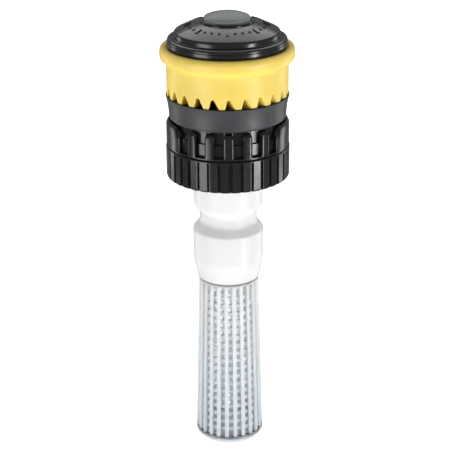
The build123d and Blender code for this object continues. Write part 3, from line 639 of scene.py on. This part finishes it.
def deflector_piece():
    widest, bottom, top = span("deflector")
    wall = 11.69
    rim = bottom + 2.86
    under_slope = 0.275
    roof_slope = 0.43
    hub = 3.2
    cap_bore = 11.6
    cap_seat = 25.4
    cup = 10.4
    post = 3.6
    post_top = 20.4
    shaft_bore = 2.2
    bearing_bore = 2.6
    bearing_roof = 15.4

    def twist(radius):
        """Angle that a channel has turned through on its way in from its start."""
        lead = math.radians(CHANNEL_LEAD)
        side = CHANNEL_START * math.sin(lead)
        run = CHANNEL_START * math.cos(lead) - math.sqrt(radius ** 2 - side ** 2)
        return math.degrees(math.atan2(run * math.sin(lead), CHANNEL_START - run * math.cos(lead)))

    radii = [hub + (wall - 0.13 - hub) * step / UNDER_STEPS for step in range(UNDER_STEPS + 1)]
    twists = [twist(radius) - twist(wall) for radius in radii]
    lip = [(wall + reach, rim + rise) for reach, rise in LIP_SHAPE]
    crest = rim + LIP_SHAPE[-1][1]
    for step in range(1, LIP_STEPS + 1):
        turn = math.radians(90 * step / LIP_STEPS)
        reach = widest - LIP_CURVE + LIP_CURVE * math.cos(turn)
        lip.append((reach, crest + (top - crest) * math.sin(turn)))
    inside = rounded([
        (11.75, top, 0.06), (cap_bore, top - 0.12, 0.04), (cap_bore, cap_seat, 0.05),
        (cup, cap_seat, 0.08), (cup, 19.2, 0.6), (post, 16.6, 0.3), (post, post_top, 0.08),
        (shaft_bore, post_top, 0.08), (shaft_bore, bearing_roof, 0.05),
        (bearing_bore, bearing_roof, 0.05), (bearing_bore, bottom, 0.05), (3.0, bottom, 0.05),
    ])

    def section(angle):
        rise = along(CHANNEL_SHAPE, offset_from(angle, FRONT + CHANNEL_PHASE, 360 / CHANNELS))
        under = []
        for radius, extra in zip(radii, twists):
            level = rim - under_slope * (wall - radius)
            roof = rim + CHANNEL_RISE - roof_slope * (wall - radius)
            under.append((radius, level + rise / CHANNEL_RISE * max(roof - level, 0), extra))
        edge = rim + rise
        side = [(wall - 0.07, edge + 0.01), (wall - 0.01, edge + 0.08), (wall, edge + 0.16),
                (wall, rim + 2.15), (wall, rim + 3.5), (wall, rim + 5.5)]
        return inside + under + side + lip

    marks = repeats(CHANNELS, CHANNEL_PHASE, places(CHANNEL_SHAPE))
    points, faces = turned_mesh(angle_steps(marks), section)
    return make_object("deflector_shell", points, faces, DEFLECTOR_CREASE)


# ---- cap: stepped flange, raised collar round the plug, and a ring of plain raised marks --------
MARKS = 32
LONG_MARK_EVERY = 4
MARK_RISE = 0.19
MARK_EDGE = [(1.5, 1), (1.65, 0.85), (1.85, 0)]
LONG_MARK = [(6.75, 0), (6.82, 1), (8.18, 1), (8.25, 0)]
SHORT_MARK = [(7.1, 0), (7.17, 1), (7.83, 1), (7.9, 0)]
DOME_STATIONS = [5.8, 6.4, 6.75, 6.82, 7.1, 7.5, 7.9, 8.18, 8.25, 8.7, 9.1, 9.4]
CAP_CREASE = 38.0


def cap_piece():
    flange, bottom, _ = span("deflector_cap")
    well = 4.5
    well_floor = 29.2
    collar_top = 30.6
    groove_floor = 29.95
    inner = 5.3
    dome_top = 30.1
    dome_edge = 28.62
    rim = 10.15
    shoulder = rim - 0.42
    flange_bottom = 25.45
    skirt = 10.3
    skirt_bore = 9.4
    head = rounded([
        (0, well_floor), (well, well_floor, 0.05), (well, collar_top, 0.08),
        (4.72, collar_top - 0.02, 0.08), (5.02, 30.32, 0.12), (5.04, groove_floor, 0.08),
        (inner, groove_floor, 0.08), (inner + 0.02, dome_top, 0.1),
    ], closed=False)[:-1] + [(inner + 0.02, dome_top - 0.08), (inner + 0.1, dome_top)]
    drop = dome_top - dome_edge

    def dome(radius):
        share = (radius - inner) / (shoulder - inner)
        return dome_top - drop * (0.5 * share + 0.5 * share ** 2)

    tail = rounded([
        (shoulder, dome_edge, 0.12), (rim - 0.16, dome_edge - 0.16, 0.12),
        (rim - 0.04, dome_edge - 0.4, 0.12), (rim, dome_edge - 0.7, 0.1), (rim, 27.46, 0.06),
        (rim + 0.1, 27.36, 0.06), (rim + 0.3, 27.33, 0.05), (rim + 0.34, 27.2, 0.04),
        (rim + 0.48, 27.2, 0.04), (rim + 0.52, 27.33, 0.05), (flange - 0.42, 27.3, 0.1),
        (flange - 0.14, 27.14, 0.1), (flange - 0.04, 26.9, 0.08), (flange - 0.04, 26.72, 0.04),
        (flange - 0.12, 26.66, 0.03), (flange - 0.12, 26.58, 0.03), (flange, 26.52, 0.04),
        (flange, flange_bottom, 0.08), (skirt, flange_bottom, 0.05), (skirt, bottom, 0.05),
        (skirt_bore, bottom, 0.05), (skirt_bore, flange_bottom + 1.3, 0.3),
        (inner, dome_top - 1.7, 0.3), (well, 28.4, 0.3), (0, 28.4),
    ], closed=False)

    def section(angle):
        number = round((angle - FRONT) * MARKS / 360) % LONG_MARK_EVERY
        raised = MARK_RISE * along(MARK_EDGE, abs(offset_from(angle, FRONT, 360 / MARKS)))
        table = LONG_MARK if number == 0 else SHORT_MARK
        crown = [(radius, dome(radius) + raised * along(table, radius)) for radius in DOME_STATIONS]
        return head + crown + tail

    points, faces = turned_mesh(angle_steps(repeats(MARKS, 0, mirrored(MARK_EDGE))), section, closed=False)
    return make_object("deflector_cap_shell", points, faces, CAP_CREASE)


PLUG_STEPS = 8
PLUG_CROWN = 0.94              # share of the plug's radius that its domed top covers
PLUG_SAG = 0.92


def plug_piece():
    radius, bottom, top = span("centre_plug")
    corners = [(0, bottom), (radius, bottom, 0.05), (radius, top - 1.02, 0.22)]
    for step in range(PLUG_STEPS, -1, -1):
        share = step / PLUG_STEPS * PLUG_CROWN
        corners.append((radius * share, top - PLUG_SAG * share ** 2, 0))
    return turned("centre_plug_shell", corners, closed=False)


# ---- screen: smooth neck, and a cage of ribs and rings ------------------------------------------
def neck_piece():
    flange, bottom, top = span("filter_neck")
    socket = 5.13
    socket_floor = 1.4
    throat = 4.85
    tube = 6.8
    tube_end = -6.2
    waist = 5.68
    waist_bore = 4.73
    waist_top = -7.7
    waist_end = -9.8
    sleeve = 7.0
    sleeve_bore = 5.7
    sleeve_end = -17.5
    end_bore = 5.3
    corners = [
        (socket, top, 0.03), (flange, top, 0.05), (flange, top - 0.6, 0.1), (tube, top - 0.6, 0.05),
        (tube, tube_end, 0.25), (waist, waist_top, 0.5), (waist, waist_end, 0.5), (6.9, -11.25, 0.25),
        (sleeve, -11.5, 0.1), (sleeve, sleeve_end, 0.3), (6.27, bottom + 0.2, 0.1), (6.15, bottom, 0.08),
        (end_bore, bottom, 0.05), (end_bore, -19.4, 0.1), (5.45, -18.8, 0.3),
        (sleeve_bore, sleeve_end, 0.3), (sleeve_bore, -11.2, 0.5), (waist_bore, waist_end, 0.5),
        (waist_bore, waist_top, 0.5), (throat, tube_end, 0.3), (throat, socket_floor, 0.05),
        (socket, socket_floor, 0.05),
    ]
    return turned("filter_neck_shell", corners)


COLUMNS = 24
COLUMN_PHASE = 2.5
SLOT_HALF = 4.0
ROWS = 19
ROW_PITCH = 1.72
WINDOW = 0.87
WALL = 1.1
RIB_DEPTH = 0.52
LAYER_DEPTHS = (WALL, RIB_DEPTH, 0)   # inside of the rings, inside of the ribs, outside
FOOT_TOP = 1.9                 # heights above the basket's bottom
FOOT_EDGE = 1.3
CAGE_BEVEL = 0.1
CAGE_BEVEL_ANGLE = 40.0
BASKET_CREASE = 50.0
# A block's sides: the step (turn, level, layer) to the neighbour, and the corners of the wall.
BLOCK_SIDES = (
    ((-1, 0, 0), ((0, 0, 0), (0, 1, 0), (0, 1, 1), (0, 0, 1))),
    ((1, 0, 0), ((1, 0, 0), (1, 0, 1), (1, 1, 1), (1, 1, 0))),
    ((0, -1, 0), ((0, 0, 0), (0, 0, 1), (1, 0, 1), (1, 0, 0))),
    ((0, 1, 0), ((0, 1, 0), (1, 1, 0), (1, 1, 1), (0, 1, 1))),
    ((0, 0, -1), ((0, 0, 0), (1, 0, 0), (1, 1, 0), (0, 1, 0))),
    ((0, 0, 1), ((0, 0, 1), (0, 1, 1), (1, 1, 1), (1, 0, 1))),
)


def cage_mesh(top, bottom, radius_at):
    """Walls of the blocks that the ribs (outside) and the rings (inside) fill."""
    slot_top = top - 0.55
    slot_bottom = bottom + FOOT_TOP
    levels = [(top, True, True), (slot_top, False, True)]    # height, whole band, ring
    height = slot_top - 0.3
    for row in range(ROWS):
        levels.append((height, False, False))
        height -= WINDOW if row else WINDOW * 2
        levels.append((height, False, True))
        height -= ROW_PITCH - WINDOW
    levels.append((slot_bottom, True, True))
    heights = [level[0] for level in levels] + [bottom + FOOT_EDGE]
    turns = []
    open_slot = []
    for column in range(COLUMNS):
        centre = FRONT + COLUMN_PHASE + column * 360 / COLUMNS
        for edge, is_slot in ((-SLOT_HALF, True), (0, True), (SLOT_HALF, False), (180 / COLUMNS, False)):
            turns.append(centre + edge)
            open_slot.append(is_slot)
    around = len(turns)
    layers = len(LAYER_DEPTHS) - 1

    def filled(turn, level, layer):
        if not (0 <= level < len(levels) and 0 <= layer < layers):
            return False
        whole, ring = levels[level][1], levels[level][2]
        if layer == 0:
            return ring
        return whole or not open_slot[turn % around]

    points = []
    index = {}

    def corner(turn, level, layer):
        key = (turn % around, level, layer)
        if key not in index:
            radius = radius_at(heights[level]) - LAYER_DEPTHS[layer]
            angle = math.radians(turns[turn % around])
            index[key] = len(points)
            points.append((radius * math.cos(angle), radius * math.sin(angle), heights[level]))
        return index[key]

    faces = []
    for turn in range(around):
        for level in range(len(levels)):
            for layer in range(layers):
                if not filled(turn, level, layer):
                    continue
                for (turns_on, levels_on, layers_on), wall in BLOCK_SIDES:
                    if not filled(turn + turns_on, level + levels_on, layer + layers_on):
                        faces.append([corner(turn + t, level + v, layer + r) for t, v, r in wall])
    return points, faces


def basket_piece():
    outer, bottom, top = span("filter_basket")
    cage_top = -21.75
    top_radius = 5.97
    collar_bore = 4.4

    def radius_at(height):
        share = (cage_top - height) / (cage_top - bottom)
        return top_radius + share * (outer - top_radius)

    points, faces = cage_mesh(cage_top - 0.02, bottom, radius_at)
    cage = make_object("filter_basket_shell", points, faces)
    edges = cage.modifiers.new("edges", "BEVEL")
    edges.width = CAGE_BEVEL * MM
    edges.segments = 2
    edges.limit_method = "ANGLE"
    edges.angle_limit = math.radians(CAGE_BEVEL_ANGLE)
    bpy.context.view_layer.update()
    evaluated = cage.evaluated_get(bpy.context.evaluated_depsgraph_get())
    shaped = bpy.data.meshes.new_from_object(evaluated)
    cage.modifiers.clear()
    cage.data = shaped
    foot_radius = radius_at(bottom + 1.4)
    foot = turned("basket_foot", [
        (0, bottom + 1.2), (foot_radius - WALL - 0.5, bottom + 1.2, 0.3),
        (foot_radius - WALL + 0.03, bottom + FOOT_TOP, 0.05), (foot_radius - 0.03, bottom + FOOT_TOP, 0.05),
        (outer, bottom + FOOT_EDGE, 0.1), (outer - 0.1, bottom + 0.75, 0.2),
        (outer - 0.38, bottom + 0.38, 0.2), (outer - 0.75, bottom + 0.1, 0.2),
        (outer - 1.3, bottom, 0.2), (0, bottom),
    ], closed=False)
    collar = turned("basket_collar", [
        (collar_bore, top, 0.1), (5.28, top, 0.1), (5.28, cage_top, 0.02), (5.9, cage_top, 0.05),
        (5.9, cage_top - 0.4, 0.05), (4.95, cage_top - 0.5, 0.05), (collar_bore, cage_top, 0.1),
    ])
    for extra in (foot, collar):
        merged = bmesh.new()
        merged.from_mesh(cage.data)
        merged.from_mesh(extra.data)
        merged.to_mesh(cage.data)
        merged.free()
        bpy.data.objects.remove(extra)
    for polygon in cage.data.polygons:
        polygon.use_smooth = True
    cage.data.set_sharp_from_angle(angle=math.radians(BASKET_CREASE))
    return cage


SPRING_WIRE = 0.3
SPRING_TURNS = 6
SPRING_SIDES = 12              # round the wire
SPRING_STEPS = 40              # along each turn


def spring_piece():
    outer, bottom, top = span("lift_spring")
    radius = outer - SPRING_WIRE
    steps = SPRING_TURNS * SPRING_STEPS
    points = []
    for step in range(steps + 1):
        turn = 2 * math.pi * SPRING_TURNS * step / steps
        level = bottom + SPRING_WIRE + (top - bottom - 2 * SPRING_WIRE) * step / steps
        for place in range(SPRING_SIDES):
            spoke = 2 * math.pi * place / SPRING_SIDES
            reach = radius + SPRING_WIRE * math.cos(spoke)
            height = level + SPRING_WIRE * math.sin(spoke)
            points.append((reach * math.cos(turn), reach * math.sin(turn), height))
    faces = [tuple(range(SPRING_SIDES)), tuple(range(steps * SPRING_SIDES, (steps + 1) * SPRING_SIDES))]
    for step in range(steps):
        for place in range(SPRING_SIDES):
            first = step * SPRING_SIDES
            after = (place + 1) % SPRING_SIDES
            faces.append((first + place, first + after, first + SPRING_SIDES + after,
                          first + SPRING_SIDES + place))
    coil = make_object("lift_spring_coil", points, faces)
    place_piece(coil, "lift_spring", "base", drawn_steel)
    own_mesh(coil)


PIECES = (
    (radius_ring_piece, "radius_ring", "radius_adjuster", "black_plastic", black_plastic),
    (arc_ring_piece, "arc_ring", "arc_adjuster", "black_plastic", black_plastic),
    (housing_piece, "nozzle_housing", "arc_adjuster", "charcoal_plastic", charcoal_plastic),
    (deflector_piece, "deflector", "deflector", "yellow_plastic", yellow_plastic),
    (cap_piece, "deflector_cap", "deflector", "black_plastic", cap_plastic),
    (plug_piece, "centre_plug", "deflector", "grey_plastic", grey_plastic),
    (neck_piece, "filter_neck", "base", "screen_plastic", screen_plastic),
    (basket_piece, "filter_basket", "base", "screen_plastic", screen_plastic),
)
for build, node, body, slot, material in PIECES:
    place_piece(build(), node, body, material)
spring_piece()


# ---- stage: pale floor, soft lights and the camera; lengths in metres ---------------------------
FLOOR_GAP = 0.0002
FLOOR_SIZE = 12.0
FLOOR_STEPS = 8
FLOOR_CLOUDS = 3.0
FLOOR_GLOW = 0.85
LIT_POINT = Vector((0, 0, 0.005))
# Name, azimuth from the front (positive to the right), elevation, distance, width, height, watts.
LIGHTS = (
    ("right_softbox", 52, -14, 0.5, 0.08, 0.4, 1.35),
    ("left_softbox", -50, -14, 0.5, 0.24, 0.4, 1.2),
    ("right_rim", 122, -12, 0.5, 0.11, 0.38, 0.34),
    ("left_rim", -122, -12, 0.5, 0.1, 0.38, 0.26),
    ("back_softbox", 180, 52, 0.6, 0.75, 0.52, 2.1),
)
WORLD_STRENGTH = 0.2
CAMERA_PLACE = (-0.00067, -0.252, 0.0917)
CAMERA_DOWN = 22.2
CAMERA_ROLL = -0.43
CAMERA_LENS = 109.4            # millimetres, for a sensor 36 mm wide
SENSOR_WIDTH = 36.0
CLIP_START = 0.01


def stage_floor():
    steps = FLOOR_STEPS
    level = (cad_box[0][2] - FLOOR_GAP) / MM
    points = []
    for row in range(steps + 1):
        for column in range(steps + 1):
            across = FLOOR_SIZE * (column / steps - 0.5) / MM
            points.append((across, FLOOR_SIZE * (row / steps - 0.5) / MM, level))
    faces = []
    for row in range(steps):
        for column in range(steps):
            first = row * (steps + 1) + column
            faces.append((first, first + 1, first + steps + 2, first + steps + 1))
    floor = make_object("floor", points, faces)
    material, tree, shader, place = start_material("floor_paper")
    stops = [(PATTERN_LOW, (0.93, 0.93, 0.93)), (PATTERN_HIGH, (0.96, 0.96, 0.96))]
    tone = ramp(tree, noise(tree, place, FLOOR_CLOUDS), stops)
    tree.links.new(tone, shader.inputs["Base Color"])
    shader.inputs["Roughness"].default_value = 0.9
    shader.inputs["Emission Color"].default_value = (1, 1, 1, 1)
    shader.inputs["Emission Strength"].default_value = FLOOR_GLOW
    floor.data.materials.append(material)
    floor.visible_glossy = False
    floor.visible_shadow = False


def soft_light(name, azimuth, elevation, distance, width, height, power):
    """A large area light that faces the lit point."""
    data = bpy.data.lights.new(name, "AREA")
    data.shape = "RECTANGLE"
    data.size = width
    data.size_y = height
    data.energy = power
    light = bpy.data.objects.new(name, data)
    turn = math.radians(FRONT + azimuth)
    lift = math.radians(elevation)
    direction = Vector((math.cos(turn) * math.cos(lift), math.sin(turn) * math.cos(lift), math.sin(lift)))
    light.location = LIT_POINT + direction * distance
    light.rotation_euler = (LIT_POINT - light.location).to_track_quat("-Z", "Y").to_euler()
    bpy.context.scene.collection.objects.link(light)


def place_camera():
    data = bpy.data.cameras.new("camera")
    data.sensor_width = SENSOR_WIDTH
    data.lens = CAMERA_LENS
    data.clip_start = CLIP_START
    camera = bpy.data.objects.new("camera", data)
    camera.matrix_world = (
        Matrix.Translation(CAMERA_PLACE)
        @ Matrix.Rotation(math.radians(90 - CAMERA_DOWN), 4, "X")
        @ Matrix.Rotation(math.radians(CAMERA_ROLL), 4, "Z")
    )
    bpy.context.scene.collection.objects.link(camera)
    bpy.context.scene.camera = camera


stage_floor()
for light in LIGHTS:
    soft_light(*light)
world = bpy.data.worlds.new("studio")
world.use_nodes = True
world.node_tree.nodes["Background"].inputs["Color"].default_value = (1, 1, 1, 1)
world.node_tree.nodes["Background"].inputs["Strength"].default_value = WORLD_STRENGTH
bpy.context.scene.world = world
bpy.context.scene.view_settings.view_transform = "Standard"
place_camera()
